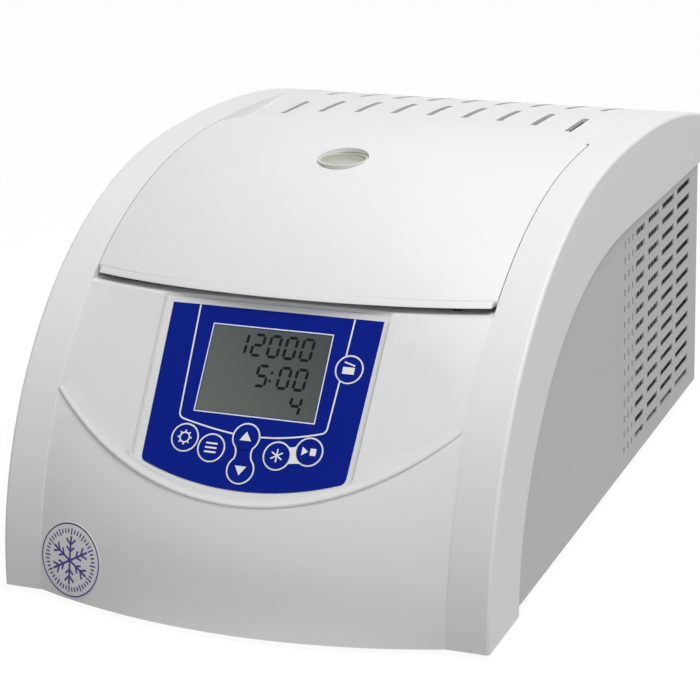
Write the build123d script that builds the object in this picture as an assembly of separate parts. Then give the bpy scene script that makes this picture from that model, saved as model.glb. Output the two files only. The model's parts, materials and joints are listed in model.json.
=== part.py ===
from build123d import *
import math
import os

# Refrigerated bench centrifuge. Millimetres, +X to the right, +Y to the rear, +Z up.
# The origin is the middle of the footprint, on the surface that the feet stand on.

# Overall sizes
width = 353.0
depth = 560.0
ground_gap = 4.0
wall = 3.0
seam_gap = 0.8
band_step = 0.3
band_lap = 2.0

# Side view of the moulded housing, measured back from the foot of the bands and up from its lower edge
arch_height = 255.0
crest_back = 320.0
front_power = 2.4
top_power = 1.85
rear_drop = 25.0
rear_power = 2.25
front_bow = 26.5
bow_depth = 130.0
bow_setback = 1.0
bow_sections = ((0.0, 26.5), (45.0, 20.4), (95.0, 13.6), (135.0, 8.2), (160.0, 8.5), (180.0, 13.0), (193.0, 20.0))
band_width = 28.7
side_foot = 61.0
side_height = 194.0
side_rear_height = 190.0
edge_round = 2.5

# Dip beside the bands behind the lid, and the top air slots
dip_depth = 7.5
dip_front = 305.0
dip_middle = 376.0
dip_end = 450.0
dip_power = 4
top_slots = 9
top_slot_pitch = 29.0
top_slot_width = 5.0
front_slot_start = 382.0
front_slot_length = 50.0
front_slot_bow = 15.0
rear_slot_start = 459.0
rear_slot_length = 58.0

# Sloping panel that carries the controls
panel_slope = 52.5
panel_back = 20.2
panel_up = 97.5
panel_side = -1.4
shoulder_rise = 5.1
shoulder_radius = 4550.0

# Deck under the lid
deck_up = 192.0
lid_floor_up = 196.0
lid_wall = 3.0
lid_crowns = ((45.0, 12.5), (84.0, 15.0), (150.0, 20.6), (209.0, 19.0), (275.0, 12.4), (345.0, 3.5), (380.0, 1.0))
lid_rear_back = 345.0
lid_rear_gap = 2.0
lid_rear_bow = 15.0
lid_corner = 30.0
lid_lip_round = 3.0

# Chamber, rotor and motor
rotor_back = 209.0
bowl_radius = 95.0
bowl_sheet = 1.2
bowl_floor_up = 100.0
bowl_neck_radius = 30.0
flange_width = 5.5
seal_width = 4.0
seal_height = 3.6
foam_radius = 113.0
foam_floor = 10.0
rotor_radius = 88.0
rotor_floor_up = 112.0
rotor_top_up = 158.0
tube_count = 24
tube_bore = 11.1
tube_tilt = 45.0
tube_length = 40.0
tube_circle = 72.0
shaft_radius = 6.0
running_clearance = 0.05
motor_radius = 52.0
motor_floor_up = 32.0
motor_top_up = 84.0
motor_shell = 4.0

# Control panel, in its own slanted frame: x to the right, v up the slope, n out of the face
foil_top_half = 77.2
foil_bottom_half = 73.8
foil_top = 112.4
foil_sag = 13.6
foil_corner = 5.0
foil_thick = 0.4
bezel_half = 83.2
bezel_bottom_half = 80.5
bezel_top = 116.8
bezel_sag = 18.0
bezel_flange = 4.0
bezel_plate = 2.6
display_half = 42.9
display_low = 38.5
display_high = 99.0
display_pane = 1.6
key_radius = 8.7
key_gap = 0.3
key_proud = 0.5
key_travel = 0.5
key_head = 2.4
key_stem = 3.0
key_places = {
    "key_set": (-45.7, 18.4),
    "key_program": (-25.2, 13.4),
    "key_up": (-1.9, 23.2),
    "key_down": (-1.1, 0.9),
    "key_precool": (22.6, 13.2),
    "key_start": (44.3, 18.4),
    "key_lid": (59.9, 77.2),
}
board_thick = 1.6
board_drop = 9.0

# Lock of the lid
strike_side = 118.0
strike_back = 122.0
strike_drop = 24.0
bolt_travel = 12.0

# Hinge of the lid
hinge_back = 372.0
hinge_up = 234.0
hinge_side = 100.0
hinge_arm_width = 8.0
hinge_neck_in = 41.0
hinge_neck_out = 50.0
hinge_neck_start = 157.0
hinge_neck_turn = 228.5
hinge_neck_end = 234.0
hinge_hub_radius = 9.5
hinge_pin_radius = 4.0

# Sheet metal casing and base
sheet = 1.2
casing_half = 175.0
casing_gap = 0.4
casing_low = 5.0
base_sheet = 2.0
base_low = 4.0
base_flange = 12.0
vent_rows = 14
vent_row_pitch = 12.37
vent_low = 18.3
vent_height = 5.4
vent_columns = ((347.5, 370.5), (381.5, 411.0), (421.0, 456.0), (466.0, 504.0))
rear_vent_rows = 8
rear_vent_row_pitch = 9.0
rear_vent_low = 112.0
rear_vent_columns = 5
rear_vent_start = 8.0
rear_vent_pitch = 26.0
rear_vent_length = 20.0
rear_vent_height = 4.0
slit_backs = (317.5, 328.0, 338.5)
slit_width = 2.6

# Cooling
fan_back = 415.0
fan_up = 95.0
fan_radius = 62.0
fan_blades = 7
condenser_x = 132.0
condenser_thick = 28.0
compressor_x = -72.0
compressor_back = 446.0
compressor_radius = 56.0
compressor_top = 152.0

# Smaller sizes of the inner pieces
jacket_thick = 2.0
jacket_low = 112.0
jacket_high = 180.0
jacket_turns = 5
bearing_radius = 13.0
armature_radius = 26.0
port_radius = 16.2
port_frame = 1.8
liner_up = 212.0
lid_front_solid = 104.0
stand_thick = 8.0
lock_low = 160.0
fan_pin_radius = 3.0
foot_side = 140.0
foot_front = 60.0
foot_rear = 490.0
inlet_x = -120.0
switch_x = -80.0
inlet_up = 45.0
rim = 2.0
screw_side = 160.0
screw_low = 14.0
screw_high = 180.0
screw_radius = 4.0
screw_head = 1.2
liquid_x = 30.0
liquid_up = 150.0

badge_side = -119.8
badge_up = 26.5
badge_radius = 25.9
badge_thick = 0.4
badge_bow = 22.4
badge_tilt = 9.0

# Worked out from the sizes above
half = width / 2
inner_half = half - band_width
foot_y = front_bow - depth / 2
rear_back = depth - front_bow
lid_half = inner_half - seam_gap
slope = math.radians(panel_slope)
base_top = base_low + base_sheet
flange_radius = bowl_radius + bowl_sheet + flange_width
jacket_outside = bowl_radius + bowl_sheet + jacket_thick


def place(x, back, up):
    """A point of the row frame from its side, depth behind the bands' foot and height above the housing's edge."""
    return Vector(x, foot_y + back, ground_gap + up)


def block(x0, x1, back0, back1, up0, up1):
    """A box between two corners."""
    centre = place((x0 + x1) / 2, (back0 + back1) / 2, (up0 + up1) / 2)
    return Pos(*centre) * Box(abs(x1 - x0), abs(back1 - back0), abs(up1 - up0))


def post(x, back, up0, up1, radius):
    """An upright round bar."""
    return Pos(*place(x, back, (up0 + up1) / 2)) * Cylinder(radius, up1 - up0)


def bar_x(x0, x1, back, up, radius):
    """A round bar along X."""
    return Pos(*place((x0 + x1) / 2, back, up)) * Rot(0, 90, 0) * Cylinder(radius, abs(x1 - x0))


def save(name, *solids):
    """Write one node, which may hold several separate solids."""
    shape = solids[0] if len(solids) == 1 else Compound(children=[Part() + s for s in solids])
    export_step(shape, f"parts/{name}.step")


# The arch of the side view

def arch_up(back, inset=0.0):
    """Height of the arched housing at a depth, for its outer face or an inner one."""
    if back <= crest_back:
        lean = min((crest_back - back) / (crest_back - inset), 1.0)
        return (arch_height - inset) * (1 - lean ** front_power) ** (1 / top_power)
    fall = (back - crest_back) / (rear_back - crest_back)
    return arch_height - inset - rear_drop * fall ** rear_power


def arch_back(up):
    """Depth of the arched front at a height."""
    lean = (1 - (up / arch_height) ** top_power) ** (1 / front_power)
    return crest_back * (1 - lean)


def arch_stations(start, crest, end, height, inset):
    """Points of the arch from its foot over the crest to the rear, as depths and heights."""
    stations = []
    steps = 10
    for step in range(steps + 1):
        turn = math.radians(90 * step / steps)
        back = crest - (crest - start - inset) * max(math.cos(turn), 0.0) ** (2 / front_power)
        stations.append((back, (height - inset) * math.sin(turn) ** (2 / top_power)))
    for step in range(1, 6):
        back = crest + (end - inset - crest) * step / 5
        stations.append((back, None))
    return stations


def dip(x, back):
    """How far the top between the bands falls below them behind the lid."""
    if back <= dip_front or back >= dip_end:
        return 0.0
    if back <= dip_middle:
        share = (back - dip_front) / (dip_middle - dip_front)
    else:
        share = (dip_end - back) / (dip_end - dip_middle)
    return dip_depth * math.sin(share * math.pi / 2) ** 2 * abs(x / inner_half) ** dip_power


def arch_wire(x, inset, floor, dipped):
    """Closed outline of the arch at one side position."""
    points = []
    for back, up in arch_stations(0.0, crest_back, rear_back, arch_height, inset):
        if up is None:
            up = arch_up(back, inset)
        if dipped:
            up -= dip(x, back)
        points.append(place(x, back, up))
    last = place(x, rear_back - inset, floor)
    first = place(x, inset, floor)
    edges = [Edge.make_spline(points), Edge.make_line(points[-1], last), Edge.make_line(last, first)]
    if floor < 0:
        edges.append(Edge.make_line(first, points[0]))
    return Wire(edges)


def arch_prism(x0, x1, inset, floor=0.0):
    """The arch drawn out along X."""
    face = Face(arch_wire(x0, inset, floor, False))
    return Solid.extrude(face, Vector(x1 - x0, 0, 0))


def centre_body(inset, floor=0.0):
    """The arch between the bands, with its dips behind the lid; it lies a hair under them and laps into them."""
    reach = inner_half + inset + band_lap
    inset += band_step
    stations = [-1.0, -0.8, -0.4, 0.0, 0.4, 0.8, 1.0]
    return Part() + Solid.make_loft([arch_wire(reach * s, inset, floor, True) for s in stations])


def bow_body(inset):
    """The crowned lower front between the bands."""
    floor = -1.0 if inset else 0.0
    reach = inner_half + band_lap
    wires = []
    for level, bow in bow_sections:
        up = level if level > 0 else floor
        back = arch_back(level) + inset + bow_setback
        left = place(-reach, back, up)
        right = place(reach, back, up)
        deep_left = place(-reach, bow_depth, up)
        deep_right = place(reach, bow_depth, up)
        wires.append(Wire([
            Edge.make_three_point_arc(left, place(0, back - bow, up), right),
            Edge.make_line(right, deep_right),
            Edge.make_line(deep_right, deep_left),
            Edge.make_line(deep_left, left),
        ]))
    return Part() + Solid.make_loft(wires)


# The slanted frame of the control panel

panel = Plane(origin=place(panel_side, panel_back, panel_up), x_dir=(1, 0, 0),
              z_dir=(0, -math.sin(slope), math.cos(slope)))


def on_panel(x, v, n):
    """A point in the panel's frame."""
    return panel * Pos(x, v, n)


def shield_outline(half_top, half_bottom, top, sag, corner):
    """Outline of the foil and of the frame round it: straight sides and a sagging lower edge."""
    outline = Polyline((-half_bottom, 0), (-half_top, top), (half_top, top), (half_bottom, 0))
    outline += ThreePointArc((half_bottom, 0), (0, -sag), (-half_bottom, 0))
    face = make_face(outline)
    if corner:
        low = face.vertices().sort_by(Axis.Y)[:2]
        face = fillet(low, corner)
    return face


def panel_slab(face, n0, n1):
    """A flat piece of the panel between two heights over the foil's face."""
    return panel * Pos(0, 0, n0) * extrude(face, n1 - n0)


def shoulder_space(inset):
    """Everything above the sloping shoulders, which are slightly crowned from side to side."""
    reach = inner_half + 30
    rise = shoulder_rise - inset
    fall = reach ** 2 / (2 * shoulder_radius)
    profile = Polyline((reach, rise - fall), (reach, 300), (-reach, 300), (-reach, rise - fall))
    profile += ThreePointArc((-reach, rise - fall), (0, rise), (reach, rise - fall))
    across = Plane(origin=place(0, panel_back, panel_up), x_dir=(1, 0, 0), z_dir=(0, -math.cos(slope), -math.sin(slope)))
    space = extrude(make_face(across * profile), 400, both=True)
    return space


def well_plan(grow):
    """Plan of the space for the lid, a little wider than the body that it is cut from."""
    side = inner_half + grow + 5
    corner_back = lid_rear_back - lid_rear_bow
    outline = Polyline((-side, corner_back + grow), (-side, -150), (side, -150), (side, corner_back + grow))
    outline += ThreePointArc((side, corner_back + grow), (0, lid_rear_back + grow), (-side, corner_back + grow))
    face = make_face(outline)
    high = face.vertices().sort_by(Axis.Y)[-2:]
    return fillet(high, lid_corner + grow)


def well_rear(x):
    """Depth of the well's rear wall at a side position, with its rounded corners."""
    into_corner = max(abs(x) - (inner_half + 5 - lid_corner), 0.0)
    return (lid_rear_back - lid_rear_bow * (x / inner_half) ** 2
            - lid_corner + math.sqrt(lid_corner ** 2 - into_corner ** 2))


def hinge_relief(grow):
    """A body turned about the hinge axis, over which the lid's rear edge moves clear of the well."""
    points = []
    for share in (-1.0, -0.93, -0.85, -0.7, -0.35, 0.0, 0.35, 0.7, 0.85, 0.93, 1.0):
        x = share * inner_half
        back = well_rear(x)
        reach = math.hypot(hinge_back - back, arch_up(back) - hinge_up)
        points.append((x, reach + grow))
    outline = Spline(*points) + Polyline(points[-1], (points[-1][0], 0), (points[0][0], 0), points[0])
    body = revolve(make_face(outline), Axis.X)
    return Pos(*place(0, hinge_back, hinge_up)) * body


def well_space(grow):
    """The space over the shoulders and the deck that the lid closes."""
    plan = Pos(0, foot_y, ground_gap - 60) * extrude(well_plan(grow), 460)
    deck = deck_up - grow
    start = panel_back + (deck - panel_up) / math.tan(slope) - (shoulder_rise + 1.0) / math.sin(slope)
    over_deck = block(-half, half, start, rear_back + 50, deck, 400)
    return plan & (shoulder_space(grow) + over_deck)


# Moulded housing

def side_window():
    """The part of each side that the sheet metal casing closes."""
    points = []
    for back, up in arch_stations(side_foot, crest_back, rear_back, side_height, 0.0):
        if up is None:
            share = (back - crest_back) / (rear_back - crest_back)
            up = side_height - (side_height - side_rear_height) * share
        points.append((back, up))
    return points


def side_window_prism(shrink, x0, x1):
    """A prism through the side with the outline of that window, made smaller by a gap."""
    points = []
    for back, up in side_window():
        points.append(place(x0, back + shrink, max(up - shrink, -20.0)))
    end_back = rear_back + 20
    points[-1] = place(x0, end_back, side_rear_height - shrink)
    low_end = place(x0, end_back, -20)
    low_start = place(x0, side_foot + shrink, -20)
    edges = [
        Edge.make_spline(points),
        Edge.make_line(points[-1], low_end),
        Edge.make_line(low_end, low_start),
        Edge.make_line(low_start, points[0]),
    ]
    return Solid.extrude(Face(Wire(edges)), Vector(x1 - x0, 0, 0))


def top_slot_boxes():
    """The two rows of air slots in the rear top."""
    boxes = []
    middle = (top_slots - 1) / 2
    for index in range(top_slots):
        x = (index - middle) * top_slot_pitch
        shift = front_slot_bow * ((index - middle) / middle) ** 2
        start = front_slot_start - shift
        for begin, length in ((start, front_slot_length), (rear_slot_start, rear_slot_length)):
            boxes.append(block(x - top_slot_width / 2, x + top_slot_width / 2, begin, begin + length, 215, 275))
    return boxes


def hinge_slot(side):
    """The slot in the rear wall of the lid's well for one hinge arm."""
    reach = hinge_arm_width / 2 + 3
    x = side * hinge_side
    top = arch_up(lid_rear_back) - wall - 1.0
    return block(x - reach, x + reach, lid_rear_back - 30, lid_rear_back + 8, deck_up + 0.5, top)


def strike_slot(side):
    """The slot in the deck for one striker of the lid."""
    x = side * strike_side
    return block(x - 4, x + 4, strike_back - 13, strike_back + 8, deck_up - 10, deck_up + 10)


def band(side, inset, floor=0.0):
    """One of the two bands that frame the front and run over the top."""
    inner = inner_half + inset
    outer = half - inset
    return Part() + arch_prism(side * inner, side * outer, inset, floor)


def make_front_cover():
    """The moulded housing: bands, shoulders, crowned front, deck and slotted rear top in one shell."""
    outer = centre_body(0.0) + bow_body(0.0) - well_space(0.0)
    inner = centre_body(wall, -1.0) + bow_body(wall) - well_space(wall)
    for side in (-1, 1):
        rim = band(side, 0.0)
        rounded = rim.edges().filter_by(GeomType.BSPLINE).sort_by(Axis.X)[-1 if side > 0 else 0]
        outer += fillet(rounded, edge_round)
        inner += band(side, wall, -1.0)
    cover = outer - inner
    for side in (-1, 1):
        cover -= side_window_prism(0.0, side * (half - wall - 1), side * (half + 1))
    cover -= block(-half, half, rear_back - wall - 1, rear_back + 1, -10, side_rear_height)
    opening = shield_outline(bezel_half, bezel_bottom_half, bezel_top + 12, bezel_sag, foil_corner)
    room_half = bezel_half + bezel_flange + 0.4
    room = shield_outline(room_half, room_half, bezel_top + 0.4, bezel_sag + bezel_flange + 0.4, 0)
    cover -= panel_slab(opening, -1.0, 30)
    cover -= panel_slab(room, -bezel_plate - 1.0, -0.2)
    cover -= post(0, rotor_back, deck_up - 20, deck_up + 20, flange_radius + 0.5)
    cover -= top_slot_boxes()
    for side in (-1, 1):
        cover -= hinge_slot(side)
        cover -= strike_slot(side)
    save("front_cover", cover)


def make_badge():
    """A thin round badge that lies on the crowned lower front."""
    lean = math.degrees(math.atan(2 * badge_bow * abs(badge_side) / inner_half ** 2))
    centre = Pos(*place(badge_side, arch_back(badge_up), badge_up)) * Rot(0, 0, -lean) * Rot(90 - badge_tilt, 0, 0)
    disc = centre * Cylinder(badge_radius, 60)
    front = centre_body(0.0) + bow_body(0.0)
    skin = Pos(0, -badge_thick, 0) * front - front
    save("badge", skin & disc)


# Sheet metal casing, base and feet

def side_vents(side):
    """The air slots of one side, in columns and rows, cut off where the arch would cut them."""
    x0 = side * (casing_half - sheet - 2)
    x1 = side * (casing_half + 2)
    spans = [(back - slit_width / 2, back + slit_width / 2) for back in slit_backs] + list(vent_columns)
    slots = []
    for row in range(vent_rows):
        up = vent_low + row * vent_row_pitch
        for start, end in spans:
            if up + vent_height < side_limit(start) - 3:
                slots.append(block(x0, x1, start, end, up, up + vent_height))
    return slots


def side_limit(back):
    """Height of the side window at a depth."""
    if back >= crest_back:
        return side_height - (side_height - side_rear_height) * (back - crest_back) / (rear_back - crest_back)
    lean = (crest_back - back) / (crest_back - side_foot)
    return side_height * (1 - lean ** front_power) ** (1 / top_power)


def make_side_cover():
    """A sheet bent round both sides and the back, with its air slots."""
    outer = block(-casing_half, casing_half, side_foot - 5, rear_back, casing_low, side_rear_height - casing_gap)
    top = block(-casing_half, casing_half, side_foot - 5, rear_back - sheet - 4, casing_low, side_height + 5)
    bends = outer.edges().filter_by(Axis.Z).sort_by(Axis.Y)[-2:]
    outer = fillet(bends, 4.0) + top
    hollow = block(-casing_half + sheet, casing_half - sheet, 0, rear_back - sheet, -5, side_height + 20)
    bends = hollow.edges().filter_by(Axis.Z).sort_by(Axis.Y)[-2:]
    casing = outer - fillet(bends, 4.0 - sheet)
    casing = casing & side_window_prism(casing_gap, -half, half)
    for side in (-1, 1):
        casing -= side_vents(side)
    rear_slots = []
    for row in range(rear_vent_rows):
        up = rear_vent_low + row * rear_vent_row_pitch
        for column in range(rear_vent_columns):
            start = rear_vent_start + column * rear_vent_pitch
            rear_slots.append(block(start, start + rear_vent_length, rear_back - 5, rear_back + 5, up,
                                    up + rear_vent_height))
    casing -= rear_slots
    casing -= block(inlet_x - 14, inlet_x + 14, rear_back - 5, rear_back + 5, inlet_up - 10.3, inlet_up + 10.3)
    casing -= block(switch_x - 7, switch_x + 7, rear_back - 5, rear_back + 5, inlet_up - 10, inlet_up + 10)
    save("side_cover", casing)


def foot_places():
    """Where the four feet stand."""
    return [(x, back) for x in (-foot_side, foot_side) for back in (foot_front, foot_rear)]


def make_base():
    """The sheet steel tray that carries everything, and its rubber feet."""
    reach = casing_half - sheet
    back_end = rear_back - sheet
    tray = block(-reach, reach, side_foot + 2, back_end, base_low, base_top + base_flange)
    tray = fillet(tray.edges().filter_by(Axis.Z).sort_by(Axis.Y)[-2:], 4.0 - sheet)
    tray -= block(-reach + base_sheet, reach - base_sheet, 0, back_end - base_sheet, base_top, base_top + 40)
    front_half = half - wall - 0.4
    tray += block(-front_half, front_half, wall + 4, side_foot + 4, base_low, base_top)
    for index in range(7):
        x = (index - 3) * 14
        tray -= block(x - 2.5, x + 2.5, 150, 268, base_low - 1, base_top + 1)
    save("base_plate", tray)
    feet = []
    for x, back in foot_places():
        foot = Pos(*place(x, back, (base_low - ground_gap) / 2)) * Cone(11.0, 13.0, base_low + ground_gap)
        feet.append(foot - post(x, back, -ground_gap - 1, -ground_gap + 3, 5.0))
    save("feet", *feet)


# Chamber and its cooling jacket

def ring(x, back, up0, up1, outer, inner):
    """An upright sleeve."""
    return post(x, back, up0, up1, outer) - post(x, back, up0 - 1, up1 + 1, inner)


def turned(points):
    """A body turned about the rotor's axis from its half section, given as radii and heights."""
    profile = Plane.XZ * make_face(Polyline(*points, close=True))
    return Pos(*place(0, rotor_back, 0)) * revolve(profile, Axis.Z)


def make_chamber():
    """The steel bowl, its cooling jacket, its foam and its seal."""
    outside = bowl_radius + bowl_sheet
    rim_up = deck_up - bowl_sheet
    section = Polyline(
        (bowl_neck_radius, bowl_floor_up), (bowl_radius - 8, bowl_floor_up), (bowl_radius, bowl_floor_up + 8),
        (bowl_radius, deck_up), (flange_radius, deck_up), (flange_radius, rim_up), (outside, rim_up),
        (outside, bowl_floor_up + 7.5), (bowl_radius - 7.5, bowl_floor_up - bowl_sheet),
        (bowl_neck_radius, bowl_floor_up - bowl_sheet), close=True)
    bowl = Pos(*place(0, rotor_back, 0)) * revolve(Plane.XZ * make_face(section), Axis.Z)
    save("chamber_bowl", bowl)
    seal = ring(0, rotor_back, deck_up, deck_up + seal_height, flange_radius, flange_radius - seal_width)
    lip = seal.edges().filter_by(GeomType.CIRCLE).group_by(Axis.Z)[-1]
    save("chamber_seal", fillet(lip, 1.2))
    jacket = ring(0, rotor_back, jacket_low, jacket_high, outside + jacket_thick, outside)
    for level in range(jacket_turns):
        up = jacket_low + (jacket_high - jacket_low) * (level + 0.5) / jacket_turns
        groove = Torus(outside + jacket_thick + 1.0, 2.0)
        jacket -= Pos(*place(0, rotor_back, up)) * groove
    save("cooling_jacket", jacket)
    foam_low = bowl_floor_up - bowl_sheet - foam_floor
    foam = post(0, rotor_back, foam_low, rim_up, foam_radius)
    cavity = turned([(0, bowl_floor_up - bowl_sheet), (outside + jacket_thick, bowl_floor_up - bowl_sheet),
                     (outside + jacket_thick, rim_up + 5), (0, rim_up + 5)])
    foam -= cavity
    foam -= post(0, rotor_back, foam_low - 1, bowl_floor_up, bowl_neck_radius)
    front_limit = rotor_back - outside - jacket_thick - 3.0
    foam -= block(-half, half, 0, front_limit, 60, 220)
    foam -= block(-half, half, 0, rotor_back + 400, deck_up - wall - 0.3, deck_up + 30)
    line_end = rotor_back + foam_radius
    foam -= Pos(*place(0, line_end, compressor_top + 10)) * Rot(90, 0, 0) * Cylinder(3.5, 60)
    foam -= Pos(*place(liquid_x, line_end, liquid_up)) * Rot(90, 0, 0) * Cylinder(2.5, 60)
    save("chamber_foam", foam)
    posts = []
    for side in (-1, 1):
        for end in (-1, 1):
            posts.append(post(side * 74, rotor_back + end * 74, base_top, foam_low, 6.0))
    save("chamber_posts", *posts)


# Drive and rotor

def make_drive():
    """Motor on its dampers, with its bearings, winding, armature and shaft."""
    plate = post(0, rotor_back, motor_floor_up - 3, motor_floor_up, motor_radius + 20)
    for index in range(3):
        plate -= Pos(*place(0, rotor_back, 0)) * Rot(0, 0, 120 * index + 90) * Pos(100, 0, motor_floor_up) * Box(70, 200, 20)
    save("motor_plate", plate)
    dampers = []
    for index in range(3):
        turn = math.radians(120 * index + 30)
        x = 58 * math.cos(turn)
        back = rotor_back + 58 * math.sin(turn)
        damper = post(x, back, base_top, motor_floor_up - 3, 8.0)
        waist = Pos(*place(x, back, (base_top + motor_floor_up - 3) / 2)) * Torus(10.5, 5.0)
        dampers.append(damper - waist)
    save("motor_dampers", *dampers)
    inside = motor_radius - motor_shell
    housing = post(0, rotor_back, motor_floor_up, motor_top_up, motor_radius)
    housing += post(0, rotor_back, motor_top_up, motor_top_up + 10, bearing_radius + 6)
    housing -= post(0, rotor_back, motor_floor_up + motor_shell, motor_top_up - motor_shell, inside)
    housing -= post(0, rotor_back, motor_floor_up + 12, motor_top_up + 20, bearing_radius)
    housing += ring(0, rotor_back, motor_floor_up + motor_shell, motor_floor_up + 12, bearing_radius + 5, bearing_radius)
    for index in range(12):
        fin = Pos(*place(0, rotor_back, 58)) * Rot(0, 0, 30 * index) * Pos(motor_radius + 1.0, 0, 0) * Box(4, 3, 40)
        housing += fin
    save("motor_housing", housing)
    low = motor_floor_up + motor_shell
    high = motor_top_up - 2
    bearings = []
    for up in (low, high):
        bearings.append(ring(0, rotor_back, up, up + 8, bearing_radius, shaft_radius + running_clearance))
    save("motor_bearings", *bearings)
    save("motor_winding", ring(0, rotor_back, 52, 74, inside, armature_radius + 1.0))
    save("motor_armature", ring(0, rotor_back, 51, 75, armature_radius, shaft_radius))
    shaft = post(0, rotor_back, low, rotor_top_up + 6, shaft_radius)
    save("drive_shaft", shaft)


def make_rotor():
    """The angle rotor with its ring of slanted tube bores, its lid and its knob."""
    rim_low = rotor_floor_up + 22
    rim_high = rotor_top_up - 8
    section = Polyline(
        (shaft_radius, rotor_floor_up), (34, rotor_floor_up), (54, rotor_floor_up + 4),
        (rotor_radius - 4, rim_low), (rotor_radius, rim_low + 5), (rotor_radius, rim_high),
        (rotor_radius - 3, rim_high + 3), (rotor_radius - 8, rim_high + 2), (48, rotor_top_up - 28),
        (40, rotor_top_up - 26), (20, rotor_top_up - 26), (16, rotor_top_up - 10), (shaft_radius, rotor_top_up - 10),
        close=True)
    rotor = Pos(*place(0, rotor_back, 0)) * revolve(Plane.XZ * make_face(section), Axis.Z)
    bores = []
    for index in range(tube_count):
        turn = 360 / tube_count * index
        centre = Pos(*place(0, rotor_back, 0)) * Rot(0, 0, turn) * Pos(tube_circle, 0, rotor_top_up - 24)
        bores.append(centre * Rot(0, -tube_tilt, 0) * Cylinder(tube_bore / 2, tube_length))
    rotor -= bores
    save("rotor_body", rotor)
    lid_low = rim_high + 3.3
    cap = Polyline(
        (shaft_radius + 0.5, lid_low - 2.8), (12, lid_low - 2.8), (20, lid_low), (rotor_radius - 2, lid_low),
        (rotor_radius - 2, lid_low + 1.5), (60, lid_low + 4.5), (22, lid_low + 6.5), (shaft_radius + 0.5, lid_low + 6.5),
        close=True)
    save("rotor_lid", Pos(*place(0, rotor_back, 0)) * revolve(Plane.XZ * make_face(cap), Axis.Z))
    knob_low = lid_low + 6.5
    knob = post(0, rotor_back, knob_low, knob_low + 12, 13.0)
    knob = fillet(knob.edges().group_by(Axis.Z)[-1], 2.0)
    for index in range(6):
        grip = Pos(*place(0, rotor_back, knob_low + 6)) * Rot(0, 0, 60 * index) * Pos(15.5, 0, 0) * Cylinder(4.5, 20)
        knob -= grip
    knob -= post(0, rotor_back, knob_low - 1, rotor_top_up + 7, shaft_radius + 0.3)
    save("rotor_knob", knob)


# Lid

def crown(back):
    """Rise of the lid's middle over its edges, on a smooth line through the named places."""
    pairs = lid_crowns
    index = max(k for k in range(len(pairs) - 1) if pairs[k][0] <= back or k == 0)
    slopes = [0.0] * len(pairs)
    for k in range(len(pairs)):
        before = pairs[max(k - 1, 0)]
        after = pairs[min(k + 1, len(pairs) - 1)]
        slopes[k] = (after[1] - before[1]) / (after[0] - before[0])
    (start, low), (end, high) = pairs[index], pairs[index + 1]
    step = end - start
    t = min(max((back - start) / step, 0.0), 1.0)
    return ((1 + 2 * t) * (1 - t) ** 2 * low + t * (1 - t) ** 2 * step * slopes[index]
            + t * t * (3 - 2 * t) * high + t * t * (t - 1) * step * slopes[index + 1])


def lid_up(x, back, drop):
    """Height of the lid's outer face, or of a face further in."""
    across = 1 - (x / lid_half) ** 2
    return arch_up(back) + crown(back) * across - drop


def lid_block(drop, side, low, rear_gap):
    """The crowned block under the lid's outer face."""
    wires = []
    begin = 45.0
    end = lid_rear_back + 15.0
    steps = 12
    for share in (-1.0, -0.7, -0.35, 0.0, 0.35, 0.7, 1.0):
        x = side * share
        points = []
        for step in range(steps + 1):
            back = begin + (end - begin) * (step / steps) ** 1.15
            points.append(place(x, back, lid_up(x, back, drop)))
        last = place(x, end, 120)
        first = place(x, begin, 120)
        wires.append(Wire([Edge.make_spline(points), Edge.make_line(points[-1], last), Edge.make_line(last, first),
                           Edge.make_line(first, points[0])]))
    solid = Part() + Solid.make_loft(wires)
    plan = Pos(0, foot_y, ground_gap) * extrude(well_plan(-rear_gap), 400)
    floor = block(-half, half, -50, 400, low, 300)
    return (solid & plan & floor) - hinge_relief(rear_gap)


def port_hole(radius):
    """A round hole through the lid over the rotor's axis."""
    return post(0, rotor_back, lid_floor_up - 20, 300, radius)


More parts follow.
